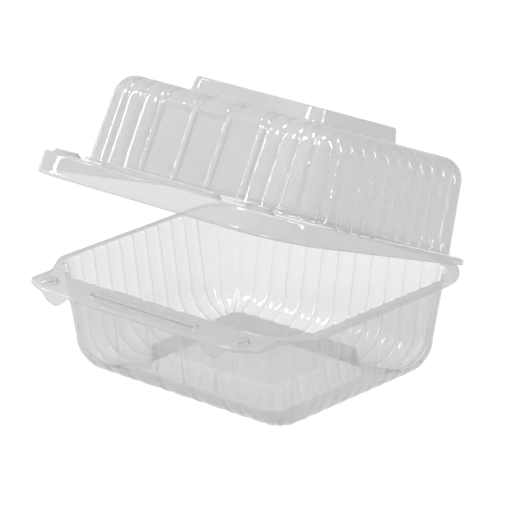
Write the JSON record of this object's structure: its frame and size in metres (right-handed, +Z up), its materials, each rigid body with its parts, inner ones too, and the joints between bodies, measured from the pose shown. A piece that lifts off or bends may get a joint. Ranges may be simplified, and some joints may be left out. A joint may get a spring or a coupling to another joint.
{
  "type": "plastic clamshell pack",
  "caption": "Clear hinged food pack: a fluted tray with a wide front flange, and a fluted domed lid shown part open.",
  "frame": {"origin": "centre of the tray's foot, on the surface that the pack stands on", "axes": "+X along the hinge to the right seen from the front, -Y towards the opening front, +Z up"},
  "size_m": [0.1548, 0.1538, 0.131],
  "materials": {
    "clear_sheet": "clear gloss plastic sheet"
  },
  "bodies": {
    "tray": {"base_tray": "clear_sheet"},
    "lid": {"lid": "clear_sheet"}
  },
  "joints": [
    {"name": "lid_hinge", "type": "hinge", "parent": "tray", "child": "lid", "pos_m": [0, 0.06925, 0.0475], "axis": [-1, 0, 0], "range_deg": [-22.9, 147]}
  ]
}
